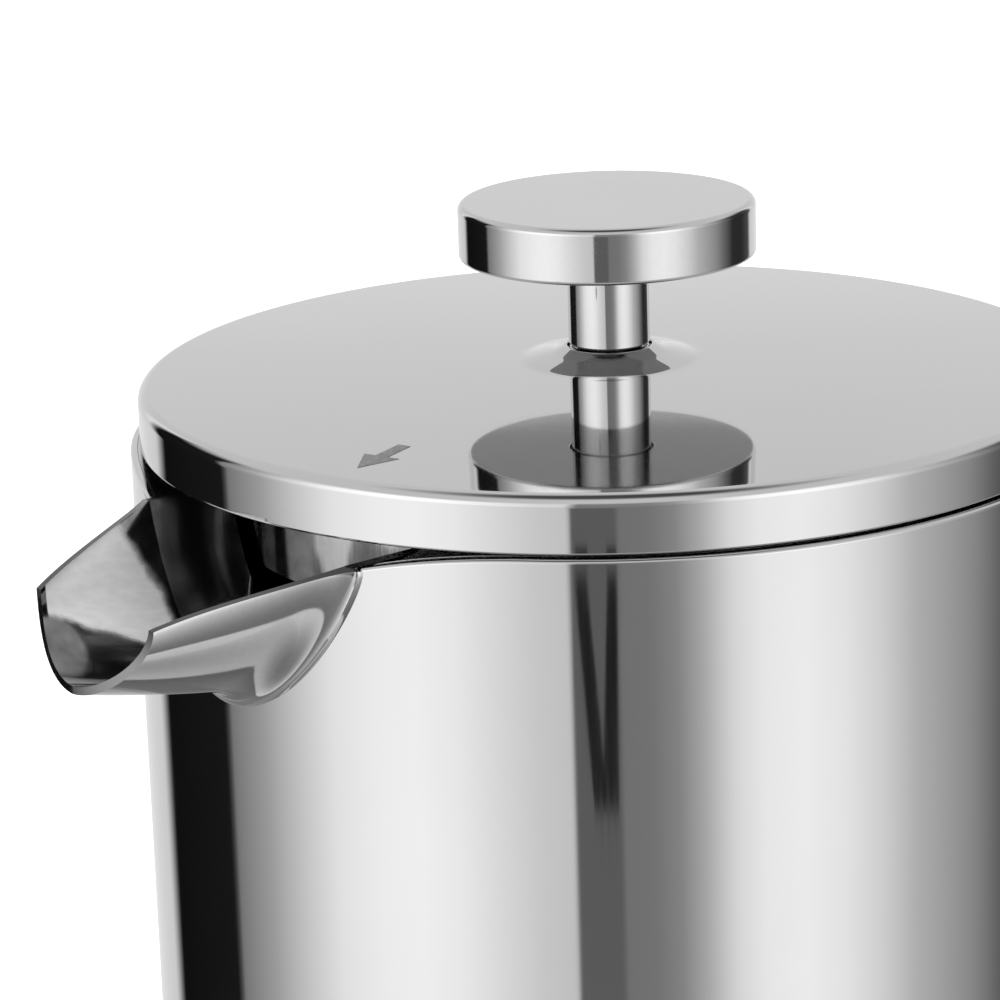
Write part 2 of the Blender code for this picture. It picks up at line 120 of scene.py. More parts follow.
def lathe(name, prof, mat, n=192, angles=None, shift=None, crease=34.0):
    """Closed outline (r, z[, flag]) in mm turned round Z with exact shading normals."""
    prof = [tuple(p) + (0,) * (3 - len(p)) for p in prof]
    clean = [prof[0]]
    for p in prof[1:]:
        if abs(p[0] - clean[-1][0]) + abs(p[1] - clean[-1][1]) > 1e-4:
            clean.append(p)
    if abs(clean[0][0] - clean[-1][0]) + abs(clean[0][1] - clean[-1][1]) < 1e-4:
        clean.pop()
    prof = clean
    m = len(prof)
    area = sum(prof[i][0] * prof[(i + 1) % m][1] - prof[(i + 1) % m][0] * prof[i][1]
               for i in range(m))
    if area < 0:
        prof = prof[::-1]
    seg = []
    for i in range(m):
        a, b = prof[i], prof[(i + 1) % m]
        dr, dz = b[0] - a[0], b[1] - a[1]
        ln = sqrt(dr * dr + dz * dz)
        seg.append((dz / ln, -dr / ln, ln))
    cz = cos(radians(crease))

    def corner(i, s):
        """normal at outline point i for the face that belongs to segment s"""
        p, q = seg[(i - 1) % m], seg[i]
        if p[0] * q[0] + p[1] * q[1] < cz:
            return seg[s][0], seg[s][1]
        w0, w1 = p[2], q[2]
        x, z = p[0] * w0 + q[0] * w1, p[1] * w0 + q[1] * w1
        ln = sqrt(x * x + z * z)
        return x / ln, z / ln

    if angles is None:
        angles = [2 * pi * j / n for j in range(n)]
    n = len(angles)
    verts, rows = [], []
    for r, z, flag in prof:
        if r < 1e-6:
            rows.append([len(verts)])
            verts.append((0, 0, z * MM))
            continue
        row = []
        for a in angles:
            zz = z + (shift(a, r, flag) if (shift and flag) else 0.0)
            row.append(len(verts))
            verts.append((r * cos(a) * MM, r * sin(a) * MM, zz * MM))
        rows.append(row)
    faces, normals = [], []
    for i in range(m):
        A, B = rows[i], rows[(i + 1) % m]
        if len(A) == 1 and len(B) == 1:
            continue
        na, nb = corner(i, i), corner((i + 1) % m, i)
        for j in range(n):
            k = (j + 1) % n
            aj, ak = angles[j], angles[k]
            ca = (na[0] * cos(aj), na[0] * sin(aj), na[1])
            cb = (na[0] * cos(ak), na[0] * sin(ak), na[1])
            cc = (nb[0] * cos(ak), nb[0] * sin(ak), nb[1])
            cd = (nb[0] * cos(aj), nb[0] * sin(aj), nb[1])
            if len(A) == 1:
                faces.append((A[0], B[k], B[j]))
                normals += [ca, cc, cd]
            elif len(B) == 1:
                faces.append((A[j], A[k], B[0]))
                normals += [ca, cb, cc]
            else:
                faces.append((A[j], A[k], B[k], B[j]))
                normals += [ca, cb, cc, cd]
    me = bpy.data.meshes.new(name)
    me.from_pydata(verts, [], faces)
    me.polygons.foreach_set("use_smooth", [True] * len(faces))
    me.normals_split_custom_set(normals)
    me.materials.append(mat)
    ob = bpy.data.objects.new(name, me)
    bpy.context.scene.collection.objects.link(ob)
    return ob


def sheet_grid(name, outer, inner, mat, bevel=0.0, segs=2, inner_mat=None, mats=None, pick=None):
    """Closed sheet between two equal grids of points (mm)."""
    bm = bmesh.new()
    A = [[bm.verts.new(Vector(p) * MM) for p in row] for row in outer]
    B = [[bm.verts.new(Vector(p) * MM) for p in row] for row in inner]
    rows, cols = len(A), len(A[0])
    for G, mi in ((A, 0), (B, 1 if inner_mat else 0)):
        for j in range(rows - 1):
            for i in range(cols - 1):
                f = bm.faces.new((G[j][i], G[j][i + 1], G[j + 1][i + 1], G[j + 1][i]))
                f.material_index = mi
    for i in range(cols - 1):
        for j in (0, rows - 1):
            f = bm.faces.new((A[j][i], A[j][i + 1], B[j][i + 1], B[j][i]))
            f.material_index = 2 if mats else 0
    for j in range(rows - 1):
        for i in (0, cols - 1):
            f = bm.faces.new((A[j][i], A[j + 1][i], B[j + 1][i], B[j][i]))
            f.material_index = 3 if mats else 0
    bmesh.ops.recalc_face_normals(bm, faces=bm.faces)
    me = bpy.data.meshes.new(name)
    bm.to_mesh(me)
    bm.free()
    me.materials.append(mat)
    if inner_mat:
        me.materials.append(inner_mat)
    for extra in mats or ():
        me.materials.append(extra)
    me.shade_smooth()
    me.set_sharp_from_angle(angle=radians(40))
    ob = bpy.data.objects.new(name, me)
    bpy.context.scene.collection.objects.link(ob)
    if bevel > 0:
        mod = ob.modifiers.new("edge", 'BEVEL')
        mod.width = bevel * MM
        mod.segments = segs
        mod.limit_method = 'ANGLE'
        mod.angle_limit = radians(45)
        mod.harden_normals = True
        mod.use_clamp_overlap = True
        mod.material = 0
    return ob


def put(ob, body, *nodes, slot=None):
    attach(ob, body)
    if nodes:
        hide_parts(*nodes)
    return ob


# ------------------------------------------------------------------ materials
def lin(s):
    s = s / 255.0
    return s / 12.92 if s <= 0.04045 else ((s + 0.055) / 1.055) ** 2.4


class Steel:
    """Stainless steel: grain along one direction, fine scratches, and small change of tone."""

    def __init__(self, name, base=0.70, rough=0.06, spread=0.03, grain=None,
                 grain_bump=0.0, rough_grain=0.0, mottled=0.0, wave=0.0, tint=(1.0, 1.0, 1.005),
                 scratch=0.0, scratch_scale=260.0):
        m = bpy.data.materials.new(name)
        m.use_nodes = True
        nt = m.node_tree
        self.m, self.nt = m, nt
        nd, lk = nt.nodes, nt.links
        bsdf = nd["Principled BSDF"]
        bsdf.inputs["Metallic"].default_value = 1.0
        tc = nd.new("ShaderNodeTexCoord")
        # slow variation of tone
        n1 = nd.new("ShaderNodeTexNoise")
        n1.inputs["Scale"].default_value = 38.0
        n1.inputs["Detail"].default_value = 4.0
        lk.new(tc.outputs["Object"], n1.inputs["Vector"])
        ramp = nd.new("ShaderNodeValToRGB")
        ramp.color_ramp.elements[0].position = 0.30
        ramp.color_ramp.elements[1].position = 0.72
        lo, hi = base - spread, base + spread
        ramp.color_ramp.elements[0].color = (lo * tint[0], lo * tint[1], lo * tint[2], 1)
        ramp.color_ramp.elements[1].color = (hi * tint[0], hi * tint[1], hi * tint[2], 1)
        lk.new(n1.outputs["Fac"], ramp.inputs["Fac"])
        colour = ramp.outputs["Color"]
        # grain: noise pulled out along the polishing direction
        grain_out = None
        if grain is not None:
            if grain == "ring":
                sep = nd.new("ShaderNodeSeparateXYZ")
                lk.new(tc.outputs["Object"], sep.inputs[0])
                rr = nd.new("ShaderNodeVectorMath")
                rr.operation = 'LENGTH'
                cx = nd.new("ShaderNodeCombineXYZ")
                lk.new(sep.outputs["X"], cx.inputs["X"])
                lk.new(sep.outputs["Y"], cx.inputs["Y"])
                lk.new(cx.outputs[0], rr.inputs[0])
                at = nd.new("ShaderNodeMath")
                at.operation = 'ARCTAN2'
                lk.new(sep.outputs["Y"], at.inputs[0])
                lk.new(sep.outputs["X"], at.inputs[1])
                sc = nd.new("ShaderNodeMath")
                sc.operation = 'MULTIPLY'
                sc.inputs[1].default_value = 0.0006
                lk.new(at.outputs[0], sc.inputs[0])
                co = nd.new("ShaderNodeCombineXYZ")
                lk.new(rr.outputs["Value"], co.inputs["X"])
                lk.new(sc.outputs[0], co.inputs["Y"])
                lk.new(sep.outputs["Z"], co.inputs["Z"])
                vec = co.outputs[0]
                scale = (1, 1, 1)
            else:
                vec = tc.outputs["Object"]
                scale = grain
            mp = nd.new("ShaderNodeMapping")
            mp.inputs["Scale"].default_value = scale
            lk.new(vec, mp.inputs["Vector"])
            g = nd.new("ShaderNodeTexNoise")
            g.inputs["Scale"].default_value = 2600.0
            g.inputs["Detail"].default_value = 3.0
            g.inputs["Roughness"].default_value = 0.62
            lk.new(mp.outputs[0], g.inputs["Vector"])
            grain_out = g.outputs["Fac"]
        # roughness
        rn = nd.new("ShaderNodeTexNoise")
        rn.inputs["Scale"].default_value = 70.0
        rn.inputs["Detail"].default_value = 6.0
        lk.new(tc.outputs["Object"], rn.inputs["Vector"])
        mr = nd.new("ShaderNodeMapRange")
        mr.inputs["From Min"].default_value = 0.3
        mr.inputs["From Max"].default_value = 0.7
        mr.inputs["To Min"].default_value = rough * 0.8
        mr.inputs["To Max"].default_value = rough * 1.25
        lk.new(rn.outputs["Fac"], mr.inputs["Value"])
        rough_out = mr.outputs[0]
        if grain_out is not None and rough_grain > 0:
            mg = nd.new("ShaderNodeMapRange")
            mg.inputs["From Min"].default_value = 0.35
            mg.inputs["From Max"].default_value = 0.65
            mg.inputs["To Min"].default_value = -rough_grain
            mg.inputs["To Max"].default_value = rough_grain
            lk.new(grain_out, mg.inputs["Value"])
            ad = nd.new("ShaderNodeMath")
            ad.operation = 'ADD'
            ad.use_clamp = True
            lk.new(rough_out, ad.inputs[0])
            lk.new(mg.outputs[0], ad.inputs[1])
            rough_out = ad.outputs[0]
        if mottled > 0:
            mo = nd.new("ShaderNodeTexNoise")
            mo.inputs["Scale"].default_value = 1500.0
            mo.inputs["Detail"].default_value = 2.0
            lk.new(tc.outputs["Object"], mo.inputs["Vector"])
            mix = nd.new("ShaderNodeMix")
            mix.data_type = 'RGBA'
            mix.blend_type = 'MULTIPLY'
            mix.inputs["Factor"].default_value = 1.0
            r2 = nd.new("ShaderNodeValToRGB")
            r2.color_ramp.elements[0].position = 0.32
            r2.color_ramp.elements[1].position = 0.66
            v = 1.0 - mottled
            r2.color_ramp.elements[0].color = (v, v, v, 1)
            r2.color_ramp.elements[1].color = (1, 1, 1, 1)
            lk.new(mo.outputs["Fac"], r2.inputs["Fac"])
            lk.new(colour, mix.inputs[6])
            lk.new(r2.outputs["Color"], mix.inputs[7])
            colour = mix.outputs[2]
        # sparse hairline scratches
        bump_in = None
        if scratch > 0:
            hs = []
            for k, rot in enumerate((0.35, -0.9, 1.5)):
                ms = nd.new("ShaderNodeMapping")
                ms.inputs["Rotation"].default_value = (rot, rot * 0.7, rot)
                ms.inputs["Scale"].default_value = (1.0, 0.045, 1.0)
                lk.new(tc.outputs["Object"], ms.inputs["Vector"])
                vo = nd.new("ShaderNodeTexVoronoi")
                vo.feature = 'DISTANCE_TO_EDGE'
                vo.inputs["Scale"].default_value = scratch_scale * (1 + 0.4 * k)
                lk.new(ms.outputs[0], vo.inputs["Vector"])
                th = nd.new("ShaderNodeMapRange")
                th.inputs["From Min"].default_value = 0.0
                th.inputs["From Max"].default_value = 0.012
                th.inputs["To Min"].default_value = 1.0
                th.inputs["To Max"].default_value = 0.0
                lk.new(vo.outputs["Distance"], th.inputs["Value"])
                hs.append(th.outputs[0])
            a1 = nd.new("ShaderNodeMath")
            a1.operation = 'MAXIMUM'
            lk.new(hs[0], a1.inputs[0])
            lk.new(hs[1], a1.inputs[1])
            a2 = nd.new("ShaderNodeMath")
            a2.operation = 'MAXIMUM'
            lk.new(a1.outputs[0], a2.inputs[0])
            lk.new(hs[2], a2.inputs[1])
            gate = nd.new("ShaderNodeTexNoise")
            gate.inputs["Scale"].default_value = 95.0
            gate.inputs["Detail"].default_value = 1.0
            lk.new(tc.outputs["Object"], gate.inputs["Vector"])
            gm = nd.new("ShaderNodeMapRange")
            gm.inputs["From Min"].default_value = 0.56
            gm.inputs["From Max"].default_value = 0.66
            lk.new(gate.outputs["Fac"], gm.inputs["Value"])
            sx = nd.new("ShaderNodeMath")
            sx.operation = 'MULTIPLY'
            lk.new(a2.outputs[0], sx.inputs[0])
            lk.new(gm.outputs[0], sx.inputs[1])
            rs = nd.new("ShaderNodeMath")
            rs.operation = 'MULTIPLY_ADD'
            rs.inputs[1].default_value = scratch
            rs.use_clamp = True
            lk.new(sx.outputs[0], rs.inputs[0])
            lk.new(rough_out, rs.inputs[2])
            rough_out = rs.outputs[0]
        lk.new(colour, bsdf.inputs["Base Color"])
        lk.new(rough_out, bsdf.inputs["Roughness"])
        # bump: slow wave of the sheet and the grain
        h = None
        if wave > 0:
            w = nd.new("ShaderNodeTexNoise")
            w.inputs["Scale"].default_value = 16.0
            w.inputs["Detail"].default_value = 1.0
            lk.new(tc.outputs["Object"], w.inputs["Vector"])
            b1 = nd.new("ShaderNodeBump")
            b1.inputs["Strength"].default_value = 1.0
            b1.inputs["Distance"].default_value = wave
            lk.new(w.outputs["Fac"], b1.inputs["Height"])
            h = b1
        if grain_out is not None and grain_bump > 0:
            b2 = nd.new("ShaderNodeBump")
            b2.inputs["Strength"].default_value = 1.0
            b2.inputs["Distance"].default_value = grain_bump
            lk.new(grain_out, b2.inputs["Height"])
            if h is not None:
                lk.new(h.outputs[0], b2.inputs["Normal"])
            h = b2
        if h is not None:
            lk.new(h.outputs[0], bsdf.inputs["Normal"])


def steel(name, **kw):
    return Steel(name, **kw).m


M_WALL = steel("steel_mirror_wall", base=0.70, rough=0.045, spread=0.008, grain=(1.0, 1.0, 0.02),
               rough_grain=0.012, wave=0.00002, scratch=0.015)
M_LID = steel("steel_mirror_lid", base=0.70, rough=0.035, spread=0.008, grain="ring",
              rough_grain=0.010, scratch=0.05, scratch_scale=200.0)
M_SPOUT = steel("steel_spout", base=0.69, rough=0.045, spread=0.012, grain=(1.0, 1.0, 1.0),
                rough_grain=0.015, mottled=0.04, wave=0.00002, scratch=0.03)
# painted shade: a darker, duller copy of the spout steel for the spout's end faces at the throat and at the
# tip
M_SPOUT_END_SHADE = steel("steel_spout_end_painted_shade", base=0.32, rough=0.17, spread=0.03, grain=(1.0, 1.0, 1.0),
                     rough_grain=0.05)
# painted shade: a near-black copy of the spout steel for the spout's top cut edges, standing in for the dark
# strip along them
M_SPOUT_TOP_EDGE_SHADE = steel("steel_spout_top_edge_painted_shade", base=0.12, rough=0.20, spread=0.02, grain=(1.0, 1.0, 1.0),
                    rough_grain=0.05)


def spout_inside():
    """Channel sides: fine satin patch with a pale, part-diffuse colour as painted light; floor and throat:
    polished, with a dark blotchy base as painted shade.
    """
    m = bpy.data.materials.new("steel_spout_inside_painted_light_shade")
    m.use_nodes = True
    nt = m.node_tree
    nd, lk = nt.nodes, nt.links
    b = nd["Principled BSDF"]
    tc = nd.new("ShaderNodeTexCoord")
    sep = nd.new("ShaderNodeSeparateXYZ")
    lk.new(tc.outputs["Object"], sep.inputs[0])

    def mth(op, a, b_=None, c=None, clamp=False):
        n = nd.new("ShaderNodeMath")
        n.operation = op
        n.use_clamp = clamp
        for k, v in enumerate((a, b_, c)):
            if v is None:
                continue
            if isinstance(v, (int, float)):
                n.inputs[k].default_value = v
            else:
                lk.new(v, n.inputs[k])
        return n.outputs[0]

    def step(x, a, c):
        n = nd.new("ShaderNodeMapRange")
        n.interpolation_type = 'SMOOTHSTEP'
        n.inputs["From Min"].default_value = a
        n.inputs["From Max"].default_value = c
        lk.new(x, n.inputs["Value"])
        return n.outputs[0]

    wob = nd.new("ShaderNodeTexNoise")
    wob.inputs["Scale"].default_value = 260.0
    wob.inputs["Detail"].default_value = 3.0
    lk.new(tc.outputs["Object"], wob.inputs["Vector"])
    wb = mth('MULTIPLY_ADD', wob.outputs["Fac"], 1.6 * MM, -0.8 * MM)
    # height above the floor of the channel, falling towards the pot
    q = mth('MULTIPLY_ADD', sep.outputs["X"], 0.48, (-LZ + 0.48 * 73.0) * MM)
    q = mth('ADD', mth('ADD', q, sep.outputs["Z"]), wb)
    side = step(q, -15.7 * MM, -14.7 * MM)
    # distance from the pot's axis
    yy = mth('MULTIPLY', sep.outputs["Y"], sep.outputs["Y"])
    rr = mth('SQRT', mth('MULTIPLY_ADD', sep.outputs["X"], sep.outputs["X"], yy))
    up_ = mth('MAXIMUM', mth('ADD', sep.outputs["Z"], (17.5 - LZ) * MM), 0.0)
    root = step(mth('ADD', mth('MULTIPLY_ADD', up_, -0.5, rr), wb), 55.4 * MM, 57.0 * MM)
    tip = mth('MULTIPLY_ADD', yy, 28.0, mth('MULTIPLY', sep.outputs["X"], -1.0))
    tip = mth('SUBTRACT', 1.0, step(tip, 74.1 * MM, 74.3 * MM))
    # mask is 1 on the channel's sides (painted light) and 0 on its floor, in the throat and at the tip
    # (painted shade)
    painted_light_mask = mth('MULTIPLY', mth('MULTIPLY', side, root), tip)

    fine = nd.new("ShaderNodeTexNoise")
    fine.inputs["Scale"].default_value = 1800.0
    fine.inputs["Detail"].default_value = 3.0
    mp = nd.new("ShaderNodeMapping")
    mp.inputs["Scale"].default_value = (0.25, 1.0, 0.5)
    mp.inputs["Rotation"].default_value = (0.0, 0.35, 0.0)
    lk.new(tc.outputs["Object"], mp.inputs["Vector"])
    lk.new(mp.outputs[0], fine.inputs["Vector"])
    # pale colour for the sides: painted light
    rs = nd.new("ShaderNodeValToRGB")
    rs.color_ramp.elements[0].position = 0.25
    rs.color_ramp.elements[1].position = 0.75
    rs.color_ramp.elements[0].color = (0.84, 0.84, 0.845, 1)
    rs.color_ramp.elements[1].color = (0.97, 0.97, 0.975, 1)
    lk.new(fine.outputs["Fac"], rs.inputs["Fac"])
    # dark blotchy base for the floor and the throat: painted shade
    painted_shade_ramp = nd.new("ShaderNodeValToRGB")
    painted_shade_ramp.color_ramp.elements[0].position = 0.30
    painted_shade_ramp.color_ramp.elements[1].position = 0.70
    painted_shade_ramp.color_ramp.elements[0].color = (0.19, 0.19, 0.195, 1)
    painted_shade_ramp.color_ramp.elements[1].color = (0.40, 0.40, 0.405, 1)
    lk.new(wob.outputs["Fac"], painted_shade_ramp.inputs["Fac"])
    mix = nd.new("ShaderNodeMix")
    mix.data_type = 'RGBA'
    lk.new(painted_light_mask, mix.inputs[0])
    lk.new(painted_shade_ramp.outputs[0], mix.inputs[6])
    lk.new(rs.outputs[0], mix.inputs[7])
    lk.new(mix.outputs[2], b.inputs["Base Color"])
    # metallic drops on the sides so their pale colour shows as diffuse painted light
    lk.new(mth('MULTIPLY_ADD', painted_light_mask, -0.60, 0.985), b.inputs["Metallic"])
    r0 = mth('MULTIPLY_ADD', fine.outputs["Fac"], 0.05, 0.07)
    lk.new(mth('MULTIPLY_ADD', painted_light_mask, 0.26, r0), b.inputs["Roughness"])
    return m


M_SPOUT_IN = spout_inside()
M_LINER = steel("steel_liner_satin", base=0.62, rough=0.16, spread=0.02, grain=(1.0, 1.0, 0.015),
                rough_grain=0.05, scratch=0.05)
M_RING = steel("steel_ring", base=0.64, rough=0.10, spread=0.02, grain=(1.0, 1.0, 0.03),
               rough_grain=0.04, mottled=0.08, wave=0.00004)
M_KNOB = steel("steel_knob", base=0.70, rough=0.05, spread=0.012, grain="ring",
               rough_grain=0.02, mottled=0.02, scratch=0.06)
M_NECK = steel("steel_neck_brushed", base=0.70, rough=0.07, spread=0.015, grain=(1.0, 1.0, 0.04),
               rough_grain=0.02, grain_bump=0.0000006)
# painted shade: a darker copy of the knob steel for the knob's downward faces
M_UNDER_SHADE = steel("steel_knob_underside_painted_shade", base=0.38, rough=0.12, spread=0.02, grain="ring",
                rough_grain=0.04)
M_BUSH = steel("steel_bush", base=0.66, rough=0.12, spread=0.02, grain="ring", rough_grain=0.05)
M_ROD = steel("steel_rod_ground", base=0.68, rough=0.10, spread=0.015, grain="ring",
              rough_grain=0.05, grain_bump=0.000002)
M_HANDLE = steel("steel_grip_mirror", base=0.70, rough=0.06, spread=0.012, grain=(1.0, 1.0, 0.03),
                 rough_grain=0.015, wave=0.00003, scratch=0.10)
M_HANDLE_IN = steel("steel_grip_inside", base=0.68, rough=0.09, spread=0.012,
                    grain=(1.0, 1.0, 0.03), rough_grain=0.02, wave=0.00003, scratch=0.10)
M_PAD = steel("steel_pad", base=0.66, rough=0.14, spread=0.02, grain=(1.0, 1.0, 1.0),
              rough_grain=0.05, mottled=0.08)
M_BASE = steel("steel_base_turned", base=0.60, rough=0.26, spread=0.02, grain="ring",
               rough_grain=0.10, grain_bump=0.000006, scratch=0.12)
M_PLATE = steel("steel_pressed_plate", base=0.62, rough=0.20, spread=0.02, grain="ring",
                rough_grain=0.08, grain_bump=0.000003)
M_WIRE = steel("steel_spring_wire", base=0.62, rough=0.16, spread=0.02, grain=(1.0, 1.0, 1.0),
               rough_grain=0.06)
M_NUT = steel("steel_nut", base=0.58, rough=0.26, spread=0.03, grain=(1.0, 1.0, 0.2),
              rough_grain=0.08, mottled=0.10)


def woven():
    """Fine square weave of steel wire."""
    m = bpy.data.materials.new("steel_woven_screen")
    m.use_nodes = True
    nt = m.node_tree
    nd, lk = nt.nodes, nt.links
    b = nd["Principled BSDF"]
    b.inputs["Metallic"].default_value = 1.0
    tc = nd.new("ShaderNodeTexCoord")
    waves = []
    for ax in (0.0, pi / 2):
        mp = nd.new("ShaderNodeMapping")
        mp.inputs["Rotation"].default_value = (0, 0, ax)
        lk.new(tc.outputs["Object"], mp.inputs["Vector"])
        w = nd.new("ShaderNodeTexWave")
        w.wave_type = 'BANDS'
        w.bands_direction = 'X'
        w.inputs["Scale"].default_value = 620.0
        w.inputs["Distortion"].default_value = 0.0
        lk.new(mp.outputs[0], w.inputs["Vector"])
        waves.append(w.outputs["Fac"])
    mx = nd.new("ShaderNodeMath")
    mx.operation = 'MAXIMUM'
    lk.new(waves[0], mx.inputs[0])
    lk.new(waves[1], mx.inputs[1])
    ramp = nd.new("ShaderNodeValToRGB")
    ramp.color_ramp.elements[0].position = 0.35
    ramp.color_ramp.elements[0].color = (0.05, 0.05, 0.05, 1)
    ramp.color_ramp.elements[1].position = 0.75
    ramp.color_ramp.elements[1].color = (0.60, 0.60, 0.61, 1)
    lk.new(mx.outputs[0], ramp.inputs["Fac"])
    lk.new(ramp.outputs[0], b.inputs["Base Color"])
    rr = nd.new("ShaderNodeMapRange")
    rr.inputs["To Min"].default_value = 0.55
    rr.inputs["To Max"].default_value = 0.25
    lk.new(mx.outputs[0], rr.inputs["Value"])
    lk.new(rr.outputs[0], b.inputs["Roughness"])
    bp = nd.new("ShaderNodeBump")
    bp.inputs["Distance"].default_value = 0.00012
    bp.inputs["Strength"].default_value = 1.0
    lk.new(mx.outputs[0], bp.inputs["Height"])
    lk.new(bp.outputs[0], b.inputs["Normal"])
    return m


def dark(name, lo, hi, rough, metallic, scale=900.0, bump=0.00001):
    m = bpy.data.materials.new(name)
    m.use_nodes = True
    nt = m.node_tree
    nd, lk = nt.nodes, nt.links
    b = nd["Principled BSDF"]
    b.inputs["Metallic"].default_value = metallic
    tc = nd.new("ShaderNodeTexCoord")
    n = nd.new("ShaderNodeTexNoise")
    n.inputs["Scale"].default_value = scale
    n.inputs["Detail"].default_value = 3.0
    lk.new(tc.outputs["Object"], n.inputs["Vector"])
    r = nd.new("ShaderNodeValToRGB")
    r.color_ramp.elements[0].position = 0.3
    r.color_ramp.elements[1].position = 0.7
    r.color_ramp.elements[0].color = (*lo, 1)
    r.color_ramp.elements[1].color = (*hi, 1)
    lk.new(n.outputs["Fac"], r.inputs["Fac"])
    lk.new(r.outputs[0], b.inputs["Base Color"])
    mr = nd.new("ShaderNodeMapRange")
    mr.inputs["To Min"].default_value = rough * 0.8
    mr.inputs["To Max"].default_value = min(1.0, rough * 1.2)
    lk.new(n.outputs["Fac"], mr.inputs["Value"])
    lk.new(mr.outputs[0], b.inputs["Roughness"])
    bp = nd.new("ShaderNodeBump")
    bp.inputs["Distance"].default_value = bump
    lk.new(n.outputs["Fac"], bp.inputs["Height"])
    lk.new(bp.outputs[0], b.inputs["Normal"])
    return m


M_MESH = woven()
# near-black matte, non-metal material for the washer under the knob's neck; it makes the thin black line at
# the neck's foot
M_WASHER_BLACK = dark("washer_black_matte", (0.012, 0.012, 0.012), (0.03, 0.03, 0.03), 0.55, 0.0)
M_MARK = dark("etched_mark", (0.10, 0.10, 0.105), (0.17, 0.17, 0.175), 0.55, 0.0, 1600.0, 0.00002)

# ------------------------------------------------------------------ spout geometry
SW0, SW1 = 18.75, 10.84
STOP0, STOP1 = -8.85, -13.0
SBOT0, SBOT1 = -25.3, -21.45
REACH = 19.9
FL_H, FL_L = 2.1, 5.0
SPT = 0.9
SKIN = RO + 0.3


def section(t, phi, off=0.0):
    w = SW0 + (SW1 - SW0) * t
    top = STOP0 + (STOP1 - STOP0) * (0.84 * t + 0.16 * t ** 5)
    bot = SBOT0 + (SBOT1 - SBOT0) * t ** 1.3
    p = 1.95 + (1.73 - 1.95) * t
    q = 1.10 + (1.73 - 1.10) * t

    def at(f):
        s, c = sin(f), max(cos(f), 0.0)
        return (w * math.copysign(abs(s) ** (2 / p), s),
                top - (top - bot) * c ** (2 / q))
    y, z = at(phi)
    if off:
        e = 0.02
        y0, z0 = at(max(phi - e, -pi / 2))
        y1, z1 = at(min(phi + e, pi / 2))
        dy, dz = y1 - y0, z1 - z0
        ln = sqrt(dy * dy + dz * dz) or 1.0
        y, z = y + off * dz / ln, z - off * dy / ln
    return y, z


def flare(s, phi):
    h = 0.75 + (FL_H - 0.75) * max(cos(phi), 0.0) ** 0.8
    if s >= FL_L:
        return 0.0
    return h * (1.0 - sqrt(max(0.0, 1.0 - (1.0 - s / FL_L) ** 2)))


def spout_out(t, phi, off):
    y, z = section(t, phi, off)
    yr, _ = section(0.0, phi, off if t == 0.0 else 0.0)
    return (-(sqrt(SKIN ** 2 - yr ** 2) + REACH * t), y, LZ + z)


def throat(phi, off, r):
    y, z = section(0.0, phi, off)
    return (-sqrt(r * r - y * y), y, LZ + z)


NPH = 72
PH = [-pi / 2 + pi * i / NPH for i in range(NPH + 1)]
EDGE = [section(0.0, p, 0.35) for p in PH if p >= 0.0]
EDGE = sorted(((abs(y), z) for y, z in EDGE))


def mouth(y):
    """Height of the opening's edge, from the lid's edge, at distance y from the spout's plane."""
    y = abs(y)
    if y >= EDGE[-1][0]:
        return None
    for (y0, z0), (y1, z1) in zip(EDGE, EDGE[1:]):
        if y <= y1:
            return z0 + (z1 - z0) * (y - y0) / max(y1 - y0, 1e-9)
    return EDGE[-1][1]


def rim_fall(a):
    d = abs((degrees(a) - 180.0 + 180.0) % 360.0 - 180.0)
    if d >= 40.0:
        return 0.0
    return -2.45 * min(1.0, (40.0 - d) / 20.1) ** 2.1


def wall_top(a, r, flag):
    """Shift of a point of the rim at angle a and radius r."""
    s = rim_fall(a)
    if cos(a) < 0:
        mz = mouth(r * sin(a))
        if mz is not None:
            s = min(s, LZ + mz - RIM)
    return s


ANG = sorted({round(v, 4) for v in
              [180 + 0.5 * i for i in range(-90, 91)] +
              [(225 + 1.25 * i) % 360 for i in range(0, 217)]})
ANG = [radians(v) for v in ANG]

# ------------------------------------------------------------------ pot
T = 1
RT2 = RIM + 0.16
prof = rounded([(RO, RT2, 0.55, T), (RO, 6.0), (RO, 0.0, 3.0), (BP_HI[1] + 0.3, 0.0, 0.2),
                (BP_HI[1] + 0.3, 0.8, 0.0), (RO - WALL, 0.8, 2.2), (RO - WALL, 6.0),
                (RO - WALL, RT2, 0.05, T)], 10)
put(lathe("pot_wall", prof, M_WALL, angles=ANG, shift=wall_top), "vessel", "outer_shell",
    slot="polished_steel")

prof = rounded([(0.0, 8.0), (LI + LT, 8.0, 4.9), (LI + LT, 20.0), (LI + LT, RIM - 4.5, 0, T),
                (LI + LT, RIM - LT, 1.2, T), (54.28, RIM - LT, 0.0, T), (54.28, RIM + 0.1, 0.0, T),
                (53.2, RIM + 0.1, 0.0, T), (52.6, RIM - 0.2, 0.0, T),
                (LI, RIM - 0.2, 2.4, T), (LI, RIM - 4.5, 0, T), (LI, 20.0), (LI, 8.8, 4.2),
                (0.0, 8.8)], 8)
put(lathe("chamber", prof, M_LINER, angles=ANG, shift=wall_top), "vessel", "inner_liner",
    slot="satin_steel")

rings = []
prof = [(0.0, 0.0)]
BR = BP_HI[1]
prof += [(BR - 0.01, 0.0, 0.25), (BR, 0.9, 0.15), (BR - 3.0, 0.9), (0.0, 0.9)]
put(lathe("base", rounded(prof, 4), M_BASE), "vessel", "base_plate", slot="satin_steel")

# spout
rows_o = [[throat(p, 0.0, LI + 0.1) for p in PH], [throat(p, 0.0, SKIN) for p in PH]]
rows_i = [[throat(p, -SPT, LI + 0.1) for p in PH], [throat(p, -SPT, SKIN) for p in PH]]
